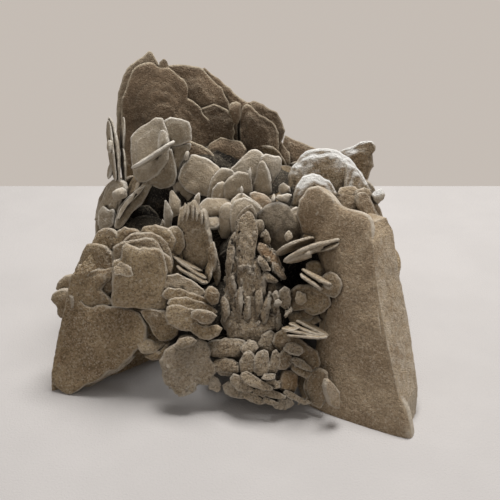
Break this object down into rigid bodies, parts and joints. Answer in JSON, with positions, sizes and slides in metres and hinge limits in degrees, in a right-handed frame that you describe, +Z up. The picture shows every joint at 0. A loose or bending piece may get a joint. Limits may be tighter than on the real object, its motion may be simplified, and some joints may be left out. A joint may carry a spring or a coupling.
{
  "type": "gypsum sand rose",
  "caption": "Desert rose: a natural cluster of intergrown, sand-filled gypsum blades with a tall rear fan, a big prow crystal and a hollow front lined with small leaves.",
  "frame": {"origin": "middle of the footprint, on the surface that the rose rests on", "axes": "+Z up, +Y towards the tall rear fan, +X towards the big prow crystal on the right"},
  "size_m": [0.2195, 0.2017, 0.1723],
  "materials": {
    "sandy_gypsum": "dull, sand-filled natural gypsum, rough to the touch, with paler rims and caps"
  },
  "bodies": {
    "root": {"sand_rose": "sandy_gypsum"}
  },
  "joints": []
}
